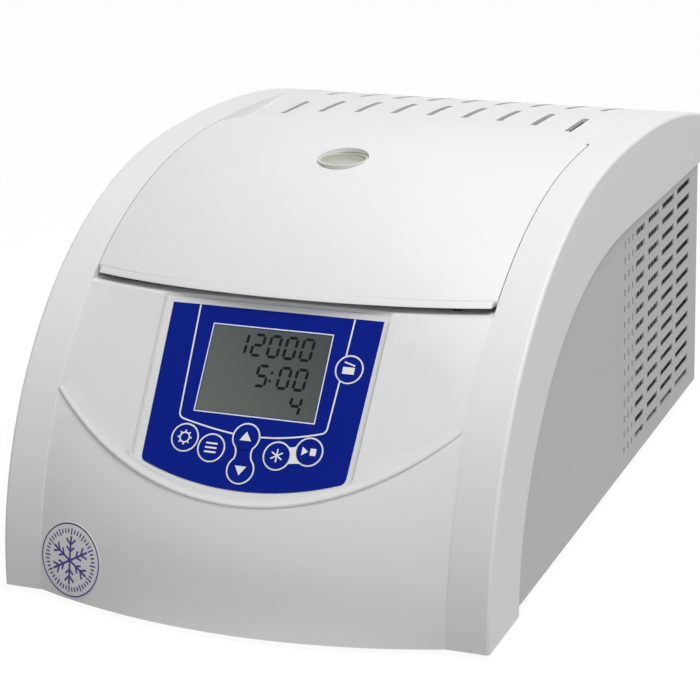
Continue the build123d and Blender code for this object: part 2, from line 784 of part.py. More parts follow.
def make_lid():
    """The lid's outer shell, its liner, its sight glass, and its hinge arms and strikers."""
    rear_gap = lid_rear_gap
    arms = [hinge_arm(side) for side in (-1, 1)]
    shell = lid_block(0.0, lid_half, lid_floor_up, rear_gap)
    lip = shell.edges().group_by(Axis.Z)[0].sort_by(Axis.Y)[0]
    shell = fillet(lip, lid_lip_round)
    hollow = lid_block(lid_wall, lid_half - lid_wall, lid_floor_up - 5, rear_gap + lid_wall)
    front = block(-half, half, -50, lid_front_solid, lid_floor_up - 6, lid_floor_up + 3)
    shell = shell - (hollow - front)
    shell -= port_hole(port_radius + port_frame + 0.3)
    for arm in arms:
        shell -= arm
    save("lid_shell", shell)
    liner_top = liner_up
    plate = lid_block(lid_wall + 0.4, lid_half - lid_wall - 0.4, lid_floor_up, rear_gap + lid_wall + 0.4)
    plate &= block(-half, half, lid_front_solid + 0.3, 400, lid_floor_up, liner_top)
    well = turned([(0, lid_floor_up + 2.5), (bowl_radius - 12, lid_floor_up + 2.5), (bowl_radius - 18, liner_top + 1),
                   (0, liner_top + 1)])
    liner = plate - well - port_hole(port_radius + port_frame + 0.3)
    for arm in arms:
        liner -= arm
    save("lid_liner", liner)
    top = lid_up(0, rotor_back, 0)
    frame = ring(0, rotor_back, lid_floor_up, top - 1.0, port_radius + port_frame, port_radius)
    frame += ring(0, rotor_back, lid_floor_up, lid_floor_up + 2.0, port_radius + port_frame, port_radius - 2)
    save("lid_window_frame", frame)
    pane = post(0, rotor_back, top - 5.0, top - 2.2, port_radius)
    low_pane = post(0, rotor_back, lid_floor_up + 2.0, lid_floor_up + 4.5, port_radius)
    save("lid_window", pane, low_pane)
    strikers = []
    for side in (-1, 1):
        x = side * strike_side
        low = lid_floor_up - strike_drop
        plate = block(x - 1.5, x + 1.5, strike_back - 6, strike_back + 6, low, lid_floor_up)
        plate -= block(x - 4, x + 4, strike_back - 4, strike_back + 4, low + 4, low + 12)
        strikers.append(plate)
    save("lid_strikers", *strikers)


def hinge_arm(side):
    """One curved arm that reaches from the lid round the housing's edge to the hinge pin."""
    x = side * hinge_side
    centre = (foot_y + hinge_back, ground_gap + hinge_up)
    middle = (hinge_neck_start + hinge_neck_turn) / 2
    root = hinge_hub_radius - 0.5
    spread = 28.0

    def polar(radius, degrees):
        turn = math.radians(degrees)
        return (centre[0] + radius * math.cos(turn), centre[1] + radius * math.sin(turn))

    tip = polar(hinge_neck_out, hinge_neck_end)
    inner_tip = polar(hinge_neck_in, hinge_neck_turn)
    outline = ThreePointArc(polar(hinge_neck_out, hinge_neck_start), polar(hinge_neck_out, middle), tip)
    outline += Line(tip, polar(root, hinge_neck_end + spread))
    outline += Line(polar(root, hinge_neck_end + spread), polar(root, hinge_neck_end - spread))
    outline += Line(polar(root, hinge_neck_end - spread), inner_tip)
    outline += ThreePointArc(inner_tip, polar(hinge_neck_in, middle), polar(hinge_neck_in, hinge_neck_start))
    outline += Line(polar(hinge_neck_in, hinge_neck_start), polar(hinge_neck_out, hinge_neck_start))
    face = Plane.YZ * make_face(outline)
    arm = Pos(x - hinge_arm_width / 2, 0, 0) * extrude(face, hinge_arm_width, dir=(1, 0, 0))
    arm += bar_x(x - hinge_arm_width / 2, x + hinge_arm_width / 2, hinge_back, hinge_up, hinge_hub_radius)
    arm -= bar_x(x - 20, x + 20, hinge_back, hinge_up, hinge_pin_radius + running_clearance)
    return arm


def make_hinge():
    """Arms, pins and the uprights that carry them."""
    arms = []
    pins = []
    stands = []
    for side in (-1, 1):
        arms.append(hinge_arm(side))
        x = side * hinge_side
        reach = hinge_arm_width / 2
        inner_x = x - side * (reach + 0.5 + stand_thick)
        pins.append(bar_x(inner_x, x + side * (reach + 3), hinge_back, hinge_up, hinge_pin_radius))
        stand = block(inner_x, x - side * (reach + 0.5), hinge_back - 12, hinge_back + 12, base_top, hinge_up + 9)
        stand += block(inner_x - side * 14, x - side * (reach + 0.5), hinge_back - 12, hinge_back + 12, base_top,
                       base_top + 3)
        stand -= bar_x(x - 30, x + 30, hinge_back, hinge_up, hinge_pin_radius)
        stands.append(stand)
    save("lid_hinge_arms", *arms)
    save("hinge_pins", *pins)
    save("hinge_stands", *stands)


def make_locks():
    """The two lock boxes under the deck and their sliding bolts."""
    boxes = []
    deck_low = deck_up - wall
    for side, name in ((-1, "lock_bolt_left"), (1, "lock_bolt_right")):
        x = side * strike_side
        box = block(x - 16, x + 16, strike_back - 16, strike_back + 11, lock_low, deck_low)
        box -= block(x - 9.5, x + 9.5, strike_back - 13, strike_back + 8, lock_low + 3, deck_low + 1)
        bolt_up = lid_floor_up - strike_drop + 8
        channel = bar_x(x - side * 17, x + side * 13, strike_back, bolt_up, 3.0 + 0.3)
        boxes.append(box - channel)
        save(name, bar_x(x - side * 22, x - side * 8.2, strike_back, bolt_up, 3.0))
    save("lock_boxes", *boxes)


# Control panel

def make_controls():
    """Frame, foil, display and keys of the sloping panel."""
    outer_half = bezel_half + bezel_flange
    frame_face = shield_outline(outer_half, outer_half, bezel_top, bezel_sag + bezel_flange, 0)
    bezel = panel_slab(frame_face, -bezel_plate - foil_thick, -foil_thick)
    middle_v = (display_low + display_high) / 2
    tall = display_high - display_low
    window = Box(2 * display_half, tall, 40)
    bezel -= on_panel(0, middle_v, 0) * window
    foil_face = shield_outline(foil_top_half, foil_bottom_half, foil_top, foil_sag, foil_corner)
    foil = panel_slab(foil_face, -foil_thick, 0)
    foil -= on_panel(0, middle_v, 0) * window
    for name, (x, v) in key_places.items():
        well = on_panel(x, v, 0) * Cylinder(key_radius + key_gap, 40)
        bezel -= well
        foil -= well
        cap = on_panel(x, v, key_proud - key_head / 2) * Cylinder(key_radius, key_head)
        stem_low = -board_drop + 0.7
        stem_high = key_proud - key_head
        cap += on_panel(x, v, (stem_low + stem_high) / 2) * Cylinder(key_stem, stem_high - stem_low)
        save(name, cap)
    board_top = -board_drop
    for x in (-70, 70):
        for v in (30, 108):
            low = board_top
            high = -bezel_plate - foil_thick
            bezel += on_panel(x, v, (low + high) / 2) * Cylinder(3.0, high - low)
    save("control_bezel", bezel)
    save("keypad_foil", foil)
    pane_top = -0.2
    pane = on_panel(0, middle_v, pane_top - display_pane / 2) * Box(2 * display_half, tall, display_pane)
    save("display_window", pane)
    module_top = pane_top - display_pane
    module_low = board_top
    module = on_panel(0, middle_v, (module_top + module_low) / 2)
    module = module * Box(2 * display_half - 0.6, tall - 0.6, module_top - module_low)
    save("display_module", module)
    board = on_panel(0, 50, board_top - board_thick / 2) * Box(150, 124, board_thick)
    save("control_board", board)


# Cooling unit

def make_cooling():
    """Compressor, condenser, fan, drier and lines."""
    x = compressor_x
    back = compressor_back
    can = post(x, back, base_top + 14, compressor_top, compressor_radius)
    can = fillet(can.edges().filter_by(GeomType.CIRCLE), 22)
    can += post(x, back, 72, 76, compressor_radius + 2.5)
    can += post(x, back, base_top + 10, base_top + 16, compressor_radius - 16)
    plate = block(x - 58, x + 58, back - 40, back + 40, base_top + 8, base_top + 11)
    can += plate
    save("compressor", can)
    grommets = []
    for side in (-1, 1):
        for end in (-1, 1):
            grommets.append(post(x + side * 50, back + end * 32, base_top, base_top + 8, 7.0))
    save("compressor_grommets", *grommets)
    x0 = condenser_x
    x1 = condenser_x + condenser_thick
    core = block(x0 + 2, x1 - 2, 345, 485, base_top + 6, 172)
    for index in range(17):
        start = 349 + index * 8
        for face_x, depth_x in ((x0, x0 + 12), (x1 - 12, x1)):
            core -= block(face_x, depth_x, start, start + 5.5, base_top + 10, 168)
    core += block(x0, x1, 341, 345, base_top, 176) + block(x0, x1, 485, 489, base_top, 176)
    save("condenser", core)
    shroud_x = condenser_x - 3.0
    shroud = block(shroud_x, condenser_x, 341, 489, base_top, 176)
    shroud -= bar_x(shroud_x - 5, condenser_x + 5, fan_back, fan_up, fan_radius + 3)
    shroud += bar_x(shroud_x - 22, condenser_x, fan_back, fan_up, fan_radius + 5) - bar_x(
        shroud_x - 25, condenser_x + 5, fan_back, fan_up, fan_radius + 3)
    shroud += bar_x(shroud_x - 22, shroud_x - 19, fan_back, fan_up, 22)
    for turn in range(3):
        spoke = Pos(*place(shroud_x - 20.5, fan_back, fan_up)) * Rot(120 * turn + 90, 0, 0) * Pos(0, 0, 33)
        shroud += spoke * Box(3, 8, fan_radius + 4)
    shroud -= bar_x(shroud_x - 30, condenser_x + 5, fan_back, fan_up, fan_pin_radius)
    save("fan_shroud", shroud)
    save("fan_pin", bar_x(shroud_x - 26, shroud_x - 4, fan_back, fan_up, fan_pin_radius))
    hub = bar_x(shroud_x - 18.5, shroud_x - 2, fan_back, fan_up, 18)
    blades = []
    for index in range(fan_blades):
        blade = Rot(360 / fan_blades * index, 0, 0) * Pos(0, 0, (fan_radius + 14) / 2) * Rot(0, 0, 35)
        blades.append(Pos(*place(shroud_x - 10, fan_back, fan_up)) * blade * Box(2.0, 22, fan_radius - 14))
    fan = hub + blades
    fan -= bar_x(shroud_x - 30, condenser_x, fan_back, fan_up, fan_pin_radius + running_clearance)
    save("cooling_fan", fan)
    drier = Pos(*place(20, 500, 60)) * Rot(0, 90, 0) * Cylinder(9.0, 70)
    drier = fillet(drier.edges().filter_by(GeomType.CIRCLE), 4.0)
    drier += block(0, 6, 494, 506, base_top, 55) + block(34, 40, 494, 506, base_top, 55)
    save("filter_drier", drier)


def pipe(points, radii, radius):
    """A round tube along straight runs joined by arcs."""
    route = FilletPolyline(*[place(*p) for p in points], radius=radii)
    start = Plane(origin=route @ 0, z_dir=route % 0)
    return sweep(start * Circle(radius), path=route)


def make_lines():
    """The gas lines between compressor, drier, condenser and cooling jacket."""
    top = compressor_top - 12
    suction = pipe([(compressor_x + 30, compressor_back, compressor_top), (compressor_x + 30, compressor_back, top + 22),
                    (compressor_x + 30, rotor_back + 150, top + 22), (0, rotor_back + 150, top + 22),
                    (0, rotor_back + jacket_outside, top + 22)], 8.0, 3.5)
    save("suction_line", suction)
    liquid = pipe([(55, 500, 60), (72, 500, 60), (72, 500, liquid_up), (72, 345, liquid_up),
                   (liquid_x, 345, liquid_up), (liquid_x, rotor_back + jacket_outside - 3, liquid_up)], 6.0, 2.5)
    save("liquid_line", liquid)


# Electrics and rear fittings

def make_electrics():
    """Power board on its posts, and the mains inlet and switch at the rear."""
    board_up = base_top + 8
    board = block(-166, -122, 90, 300, board_up, board_up + board_thick)
    for x in (-160, -128):
        for back in (96, 294):
            board += post(x, back, base_top, board_up, 3.0)
    save("power_board", board)
    sink = block(-158, -130, 110, 170, board_up + board_thick, board_up + 40)
    for index in range(4):
        start = -155 + index * 6
        sink -= block(start, start + 4, 105, 175, board_up + board_thick + 5, board_up + 50)
    coil = block(-160, -126, 190, 230, board_up + board_thick, board_up + 36)
    caps = post(-145, 255, board_up + board_thick, board_up + 38, 11) + post(-145, 281, board_up + board_thick,
                                                                            board_up + 38, 11)
    save("heat_sink", sink)
    save("board_parts", coil, *caps.solids())
    end = rear_back
    body = block(inlet_x - 13.7, inlet_x + 13.7, end - 26, end, inlet_up - 10, inlet_up + 10)
    body += block(inlet_x - 16, inlet_x + 16, end, end + rim, inlet_up - 12, inlet_up + 12)
    body -= block(inlet_x - 12, inlet_x + 12, end - 17, end + 5, inlet_up - 8, inlet_up + 8)
    save("power_inlet", body)
    pins = []
    for x, up in ((-7, -2), (0, 3), (7, -2)):
        pins.append(block(inlet_x + x - 1, inlet_x + x + 1, end - 17, end - 5, inlet_up + up - 2, inlet_up + up + 2))
    save("inlet_pins", *pins)
    frame = block(switch_x - 6.8, switch_x + 6.8, end - 18, end, inlet_up - 9.8, inlet_up + 9.8)
    frame += block(switch_x - 9, switch_x + 9, end, end + rim, inlet_up - 12, inlet_up + 12)
    frame -= block(switch_x - 5.5, switch_x + 5.5, end - 14, end + 5, inlet_up - 8.6, inlet_up + 8.6)
    axle = bar_x(switch_x - 6, switch_x + 6, end - 4, inlet_up, 1.2)
    save("switch_frame", frame + axle)
    rocker_profile = Polyline(
        (end + foot_y - 9, inlet_up - 3 + ground_gap), (end + foot_y - 1.0, inlet_up - 7.6 + ground_gap),
        (end + foot_y + 1.2, inlet_up - 7.6 + ground_gap), (end + foot_y - 0.2, inlet_up + ground_gap),
        (end + foot_y + 1.2, inlet_up + 7.6 + ground_gap), (end + foot_y - 1.0, inlet_up + 7.6 + ground_gap),
        (end + foot_y - 9, inlet_up + 3 + ground_gap), close=True)
    rocker = Pos(switch_x - 5.2, 0, 0) * extrude(Plane.YZ * make_face(rocker_profile), 10.4, dir=(1, 0, 0))
    rocker -= bar_x(switch_x - 10, switch_x + 10, end - 4, inlet_up, 1.2 + running_clearance)
    save("mains_rocker", rocker)


def make_screws():
    """Screws that hold the casing's back to the housing and the tray."""
    screws = []
    for x, up in ((-screw_side, screw_low), (0, screw_low), (screw_side, screw_low), (-screw_side, screw_high),
                  (screw_side, screw_high)):
        centre = place(x, rear_back + screw_head / 2, up)
        screws.append(Pos(*centre) * Rot(90, 0, 0) * Cylinder(screw_radius, screw_head))
    save("casing_screws", *screws)


def build():
    make_front_cover()
    make_badge()
    make_side_cover()
    make_base()
    make_chamber()
    make_drive()
    make_rotor()
    make_lid()
    make_hinge()
    make_locks()
    make_controls()
    make_cooling()
    make_lines()
    make_electrics()
    make_screws()


if __name__ == "__main__":
    os.makedirs("parts", exist_ok=True)
    build()
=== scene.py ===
import json
import math
from functools import cached_property

import bmesh
import bpy
from mathutils import Matrix, Vector
from mathutils.bvhtree import BVHTree


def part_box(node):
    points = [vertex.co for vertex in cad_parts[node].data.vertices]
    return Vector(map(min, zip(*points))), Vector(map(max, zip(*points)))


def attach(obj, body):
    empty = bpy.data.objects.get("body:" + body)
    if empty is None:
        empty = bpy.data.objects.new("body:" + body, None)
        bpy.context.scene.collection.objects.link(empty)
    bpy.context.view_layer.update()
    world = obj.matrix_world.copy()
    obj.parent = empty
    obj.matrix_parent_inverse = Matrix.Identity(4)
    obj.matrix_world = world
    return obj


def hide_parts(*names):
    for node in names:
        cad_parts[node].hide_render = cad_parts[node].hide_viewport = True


bl_info = {
    "name": "Bench Centrifuge",
    "version": (1, 0, 0),
    "blender": (4, 5, 0),
    "location": "3D View > Sidebar > Centrifuge",
    "description": "Gives a refrigerated bench centrifuge its finishes, smooth skins, print and stage",
    "category": "Object",
}

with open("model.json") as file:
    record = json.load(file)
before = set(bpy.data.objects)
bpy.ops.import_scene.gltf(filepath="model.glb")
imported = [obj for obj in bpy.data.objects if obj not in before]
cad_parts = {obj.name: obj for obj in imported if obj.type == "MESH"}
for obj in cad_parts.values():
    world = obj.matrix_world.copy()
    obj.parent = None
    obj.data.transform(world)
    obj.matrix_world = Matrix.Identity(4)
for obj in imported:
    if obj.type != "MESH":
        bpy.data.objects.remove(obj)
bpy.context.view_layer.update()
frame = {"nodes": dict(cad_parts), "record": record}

MM = 0.001

# Where the bands' foot and the housing's lower edge lie in the machine's frame, in millimetres
FOOT = -253.5
LIFT = 4.0

# Bow of the lip under the panel, in millimetres, and of the lid's front edge, in metres: the factors of
# x squared and of x to the fourth
LIP_BOW = (0.0028, 1.6e-8)
LID_BOW = (0.79, 7.0)

# Middle of each key on the panel, in millimetres to the right and up the slope
KEYS = {
    "set": (-45.7, 18.4),
    "program": (-25.2, 13.4),
    "up": (-1.9, 23.2),
    "down": (-1.1, 0.9),
    "precool": (22.6, 13.2),
    "start": (44.3, 18.4),
    "lid": (59.9, 77.2),
}
KEY_TOP = 0.5

# Each figure of the display by its lit bars, lettered clockwise from the top with the middle one last
BARS = {"0": "abcdef", "1": "bc", "2": "abged", "4": "fgbc", "5": "afgcd"}


# Places on the machine

def place(x, back, up):
    """A point in metres from millimetres right, behind the bands' foot and over the housing's edge."""
    return Vector((x, FOOT + back, LIFT + up)) * MM


def sizes():
    """The sizes that the sidebar shows."""
    return bpy.context.scene.centrifuge_sizes


def millimetres(name):
    """One of those sizes in millimetres."""
    return getattr(sizes(), name) / MM


def tones():
    """The colours that the sidebar shows."""
    return bpy.context.scene.centrifuge_tones


def panel_matrix():
    """From the panel's own x, v and n, in metres, to the machine's frame."""
    slope = sizes().panel_slope
    up_slope = Vector((0, math.cos(slope), math.sin(slope)))
    out = Vector((0, -math.sin(slope), math.cos(slope)))
    turn = Matrix((Vector((1, 0, 0)), up_slope, out)).transposed().to_4x4()
    spot = place(millimetres("panel_side"), millimetres("panel_back"), millimetres("panel_up"))
    return Matrix.Translation(spot) @ turn


# Materials

class Signal:
    """A number that varies over a surface; arithmetic on it adds Math nodes."""

    def __init__(self, paint, socket):
        self.paint = paint
        self.socket = socket

    def __add__(self, other):
        return self.paint.number("ADD", self, other)

    def __mul__(self, other):
        return self.paint.number("MULTIPLY", self, other)


class Paint:
    """One material or world, and the way its nodes are made."""

    def __init__(self, holder):
        self.holder = holder
        holder.use_nodes = True
        self.tree = holder.node_tree
        self.tree.nodes.clear()

    @cached_property
    def coordinates(self):
        """The object's own coordinates."""
        return self.node("ShaderNodeTexCoord").outputs["Object"]

    def node(self, kind, settings=None, **inputs):
        """A node of one type: its settings first, then values or links for its sockets."""
        made = self.tree.nodes.new(kind)
        for key, value in (settings or {}).items():
            setattr(made, key, value)
        for key, value in inputs.items():
            name = key.replace("_", " ")
            index = int(name[2:]) if name.startswith("at") and name[2:].isdigit() else name
            self.feed(made.inputs[index], value)
        return made

    def feed(self, socket, value):
        """A value or a link into one socket."""
        if isinstance(value, Signal):
            value = value.socket
        if isinstance(value, bpy.types.NodeSocket):
            self.tree.links.new(value, socket)
        else:
            socket.default_value = value

    def seen(self, *kinds):
        """1 for rays of these kinds, 0 for all others."""
        path = self.node("ShaderNodeLightPath")
        share = path.outputs[kinds[0]]
        for kind in kinds[1:]:
            share = self.number("MAXIMUM", share, path.outputs[kind])
        return share

    def number(self, operation, first, second):
        """One Math node."""
        made = self.node("ShaderNodeMath", {"operation": operation}, at0=first, at1=second)
        return Signal(self, made.outputs[0])

    def stretched(self, scale):
        """Object coordinates drawn out along the axes."""
        made = self.node("ShaderNodeMapping", Vector=self.coordinates, Scale=scale)
        return made.outputs[0]

    def grain(self, scale, detail=2.0, rough=0.5, coordinates=None):
        """A noise from 0 to 1."""
        made = self.node("ShaderNodeTexNoise", Vector=coordinates or self.coordinates, Scale=scale,
                         Detail=detail, Roughness=rough)
        return Signal(self, made.outputs[0])

    def blend(self, share, first, second):
        """A colour between two colours."""
        made = self.node("ShaderNodeMix", {"data_type": "RGBA"}, at0=share, at6=rgba(first), at7=rgba(second))
        return made.outputs[2]

    def bump(self, height, distance, strength=1.0):
        """A normal bent by a height."""
        made = self.node("ShaderNodeBump", Height=height, Distance=distance, Strength=strength)
        return made.outputs[0]

    def finish(self, **inputs):
        """The surface shader and the output."""
        surface = self.node("ShaderNodeBsdfPrincipled", None, **inputs)
        self.node("ShaderNodeOutputMaterial", Surface=surface.outputs[0])
        return self.holder


def new_paint(name):
    """An empty material to paint."""
    return Paint(bpy.data.materials.new(name))


def rgba(colour):
    """A colour with its alpha."""
    if isinstance(colour, bpy.types.NodeSocket):
        return colour
    return (*tuple(colour)[:3], 1.0)


def shade(colour, factor):
    """A lighter or darker colour."""
    return tuple(min(c * factor, 1.0) for c in tuple(colour)[:3])


def moulded(name, colour, rough=0.42, grain_size=1500.0, depth=0.00004):
    """Moulded plastic with a fine spark-eroded grain and a faint unevenness."""
    paint = new_paint(name)
    cloud = paint.grain(9.0, 3.0)
    fine = paint.grain(grain_size, 2.0, 0.6)
    base = paint.blend(cloud, shade(colour, 0.97), shade(colour, 1.02))
    return paint.finish(Base_Color=base, Roughness=cloud * 0.08 + (rough - 0.04) + fine * 0.05,
                        Normal=paint.bump(fine, depth))


def sprayed(name, colour, rough=0.4):
    """Powder coat on sheet steel: a low orange peel under an even colour."""
    paint = new_paint(name)
    peel = paint.grain(420.0, 2.0, 0.5)
    cloud = paint.grain(6.0, 2.0)
    base = paint.blend(cloud, shade(colour, 0.97), shade(colour, 1.03))
    return paint.finish(Base_Color=base, Roughness=peel * 0.12 + rough, Normal=paint.bump(peel, 0.0001, 0.7))


def drawn_metal(name, colour, rough=0.32, scale=(900.0, 900.0, 30.0)):
    """Metal with fine draw marks."""
    paint = new_paint(name)
    marks = paint.grain(1.0, 3.0, 0.6, paint.stretched(scale))
    cloud = paint.grain(14.0, 2.0)
    base = paint.blend(marks, shade(colour, 0.88), shade(colour, 1.08))
    return paint.finish(Base_Color=base, Metallic=1.0, Roughness=marks * 0.16 + cloud * 0.06 + (rough - 0.1),
                        Normal=paint.bump(marks, 0.00003))


def rubbery(name, colour):
    """Dull rubber with a fine tooth."""
    paint = new_paint(name)
    tooth = paint.grain(1300.0, 3.0, 0.7)
    cloud = paint.grain(30.0, 2.0)
    base = paint.blend(cloud, shade(colour, 0.8), shade(colour, 1.3))
    return paint.finish(Base_Color=base, Roughness=tooth * 0.15 + 0.72, Normal=paint.bump(tooth, 0.00012))


def foamed(name, colour):
    """Poured foam with open cells."""
    paint = new_paint(name)
    cells = paint.node("ShaderNodeTexVoronoi", {"feature": "F1"}, Vector=paint.coordinates, Scale=420.0)
    holes = Signal(paint, cells.outputs[0])
    cloud = paint.grain(22.0, 3.0)
    base = paint.blend(cloud, shade(colour, 0.82), shade(colour, 1.05))
    return paint.finish(Base_Color=base, Roughness=holes * 0.2 + 0.7, Normal=paint.bump(holes, 0.0006))


def foil_print(name, colour):
    """The printed blue film, matt with a fine hammered tooth."""
    paint = new_paint(name)
    tooth = paint.grain(2600.0, 2.0, 0.6)
    cloud = paint.grain(18.0, 2.0)
    base = paint.blend(cloud, shade(colour, 0.94), shade(colour, 1.06))
    return paint.finish(Base_Color=base, Roughness=tooth * 0.1 + 0.3, Normal=paint.bump(tooth, 0.00002),
                        Specular_IOR_Level=0.05)


def ink(name, colour, rough=0.45, shine=0.5):
    """Printed ink, slightly uneven."""
    paint = new_paint(name)
    fleck = paint.grain(900.0, 2.0)
    base = paint.blend(fleck, shade(colour, 0.93), shade(colour, 1.04))
    return paint.finish(Base_Color=base, Roughness=fleck * 0.1 + rough, Specular_IOR_Level=shine)


def liquid_crystal(name, low, high):
    """The display's grey-green face under a clear glossy cover, with painted light and shade: lighter towards
    its lower left, darker towards its upper right.
    """
    paint = new_paint(name)
    parts = paint.node("ShaderNodeSeparateXYZ", Vector=paint.coordinates)
    across = Signal(paint, parts.outputs[0])
    height = Signal(paint, parts.outputs[2])
    # Painted light and shade: the face is lighter towards the lower left and darker towards the upper right
    share = across * 5.0 + height * 6.0 + (-0.46)
    ramp = paint.node("ShaderNodeMapRange", {"interpolation_type": "SMOOTHSTEP"}, Value=share)
    fine = paint.grain(2200.0, 1.0)
    base = paint.blend(Signal(paint, ramp.outputs[0]), high, low)
    return paint.finish(Base_Color=base, Roughness=fine * 0.04 + 0.22, Specular_IOR_Level=0.2)


def sight_pane(name, colour):
    """The clear pane of the lid, slightly olive."""
    paint = new_paint(name)
    haze = paint.grain(60.0, 2.0)
    return paint.finish(Base_Color=paint.blend(haze, shade(colour, 0.94), shade(colour, 1.04)),
                        Roughness=haze * 0.05 + 0.1, Transmission_Weight=0.45, IOR=1.45)


def circuit_board(name, colour):
    """Green board with a pattern of tracks."""
    paint = new_paint(name)
    tracks = paint.node("ShaderNodeTexBrick", {"offset": 0.5}, Vector=paint.coordinates, Scale=160.0,
                        Mortar_Size=0.03, Color1=rgba(shade(colour, 0.9)), Color2=rgba(shade(colour, 1.15)),
                        Mortar=rgba(shade(colour, 1.9)))
    glossy = paint.grain(300.0)
    return paint.finish(Base_Color=tracks.outputs[0], Roughness=glossy * 0.15 + 0.3)


def make_finishes():
    """Every material by the name of its slot."""
    t = tones()
    return {
        "housing_plastic": moulded("housing plastic", t.housing, 0.44),
        "casing_paint": sprayed("casing paint", t.casing),
        "rubber_black": rubbery("black rubber", (0.03, 0.03, 0.032)),
        "rubber_grey": rubbery("grey rubber", (0.16, 0.16, 0.165)),
        "bowl_steel": drawn_metal("bowl steel", (0.6, 0.6, 0.61)),
        "copper_tone": drawn_metal("copper", (0.75, 0.4, 0.25), 0.36, (500.0, 500.0, 500.0)),
        "foam_cream": foamed("insulating foam", (0.8, 0.7, 0.45)),
        "rotor_alloy": drawn_metal("rotor alloy", (0.55, 0.56, 0.58), 0.3, (60.0, 60.0, 1400.0)),
        "black_plastic": moulded("black plastic", (0.025, 0.025, 0.028), 0.45, 1200.0),
        "black_paint": sprayed("black paint", (0.02, 0.02, 0.02), 0.3),
        "ring_plastic": moulded("sight ring plastic", (0.66, 0.66, 0.6), 0.4),
        # The liner's darker grey is partly its own colour and partly painted shade for the gap seen under the
        # lid's front edge
        "liner_plastic": moulded("liner plastic", (0.36, 0.365, 0.36), 0.5),
        "sight_glass": sight_pane("sight glass", (0.62, 0.62, 0.53)),
        "bezel_plastic": moulded("frame plastic", t.bezel, 0.42),
        "foil_blue": foil_print("blue foil", t.foil),
        "key_foil": foil_print("key foil", t.foil),
        # The display face gets painted light and shade between two tones
        "display_glass": liquid_crystal("display face", t.display_painted_shade, t.display_painted_light),
        "display_back": moulded("display body", (0.2, 0.22, 0.2)),
        "board_green": circuit_board("circuit board", (0.02, 0.12, 0.05)),
        "fin_alloy": drawn_metal("fin alloy", (0.62, 0.62, 0.63), 0.38, (40.0, 40.0, 900.0)),
        "brass_pins": drawn_metal("brass pins", (0.72, 0.55, 0.25), 0.25, (300.0, 900.0, 900.0)),
        "badge_film": ink("badge film", t.housing, 0.3),
        "print_white": ink("white print", t.print_light),
        "print_dark": ink("display segments", t.segment, 0.4, 0.05),
        "print_navy": ink("navy print", t.badge),
    }


# Mesh work

def new_piece(name, mesh_work, body, finish, transform=None, smooth=False):
    """An object from a bmesh, at the origin, riding on a body and finished like a slot."""
    mesh = bpy.data.meshes.new(name)
    if transform is not None:
        mesh_work.transform(transform)
    mesh_work.to_mesh(mesh)
    mesh_work.free()
    return dress(name, mesh, body, finish, smooth)


def dress(name, mesh, body, finish, smooth=False):
    """Link a mesh as an object, give it its material and its body."""
    piece = bpy.data.objects.new(name, mesh)
    bpy.context.scene.collection.objects.link(piece)
    mesh.materials.clear()
    mesh.materials.append(finish)
    mesh.polygons.foreach_set("use_smooth", [smooth] * len(mesh.polygons))
    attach(piece, body)
    return piece


def arc(x, v, radius, start, end, steps=24):
    """Points along part of a circle, angles in degrees."""
    points = []
    for step in range(steps + 1):
        turn = math.radians(start + (end - start) * step / steps)
        points.append((x + radius * math.cos(turn), v + radius * math.sin(turn)))
    return points


def spoke(turn, *reaches):
    """Points at some distances from the middle, in a direction in degrees."""
    angle = math.radians(turn)
    return [(reach * math.cos(angle), reach * math.sin(angle)) for reach in reaches]


def curve_between(first, control, last, steps=10):
    """Points along a curve that leaves and meets its ends towards one control point."""
    points = []
    for step in range(1, steps):
        t = step / steps
        points.append(tuple((1 - t) ** 2 * a + 2 * t * (1 - t) * b + t * t * c
                            for a, b, c in zip(first, control, last)))
    return points


def line_mesh(name, paths, thickness):
    """A mesh of round lines in millimetres; each path has its points, closed or not, and a weight."""
    curve = bpy.data.curves.new(name, "CURVE")
    curve.dimensions = "3D"
    curve.bevel_depth = thickness / 2 * MM
    curve.bevel_resolution = 1
    curve.use_fill_caps = True
    for points, closed, weight in paths:
        spline = curve.splines.new("POLY")
        spline.points.add(len(points) - 1)
        for spot, (x, v) in zip(spline.points, points):
            spot.co = (x * MM, v * MM, 0, 1)
            spot.radius = weight
        spline.use_cyclic_u = closed
    holder = bpy.data.objects.new(name + " route", curve)
    mesh = bpy.data.meshes.new_from_object(holder)
    bpy.data.objects.remove(holder)
    mesh.name = name
    return mesh


def printed_lines(name, paths, line_width, body="housing", base=0.0):
    """Flat pale lines printed on the panel, drawn along open or closed paths in millimetres."""
    mesh = line_mesh(name, [(points, closed, 1.0) for points, closed in paths], line_width)
    flat = Matrix.Diagonal((1, 1, sizes().line_height / line_width, 1))
    mesh.transform(panel_matrix() @ Matrix.Translation((0, 0, base * MM)) @ flat)
    return dress(name, mesh, body, finishes["print_white"])


def flat_shape(points, low, high):
    """A bmesh prism over a flat outline in the panel's frame, in millimetres."""
    work = bmesh.new()
    corners = [work.verts.new((x * MM, v * MM, low * MM)) for x, v in points]
    face = work.faces.new(corners)
    grown = bmesh.ops.extrude_face_region(work, geom=[face])
    raised = [g for g in grown["geom"] if isinstance(g, bmesh.types.BMVert)]
    bmesh.ops.translate(work, verts=raised, vec=(0, 0, (high - low) * MM))
    bmesh.ops.recalc_face_normals(work, faces=work.faces)
    return work


def merge_into(target, source):
    """Add one bmesh to another."""
    mesh = bpy.data.meshes.new("part of a print")
    source.to_mesh(mesh)
    source.free()
    target.from_mesh(mesh)
    bpy.data.meshes.remove(mesh)


def join_rows(work, rows):
    """Faces between rows of corners, with their normals outwards."""
    for first, second in zip(rows, rows[1:]):
        for k in range(len(first) - 1):
            work.faces.new((first[k], first[k + 1], second[k + 1], second[k]))
    bmesh.ops.recalc_face_normals(work, faces=work.faces)


# The lip under the panel and the lid's lower edge

def shoulder_height(x):
    """Height of the crowned shoulders over the panel's face, in millimetres."""
    return millimetres("shoulder_rise") - x * x / (2 * millimetres("shoulder_radius"))


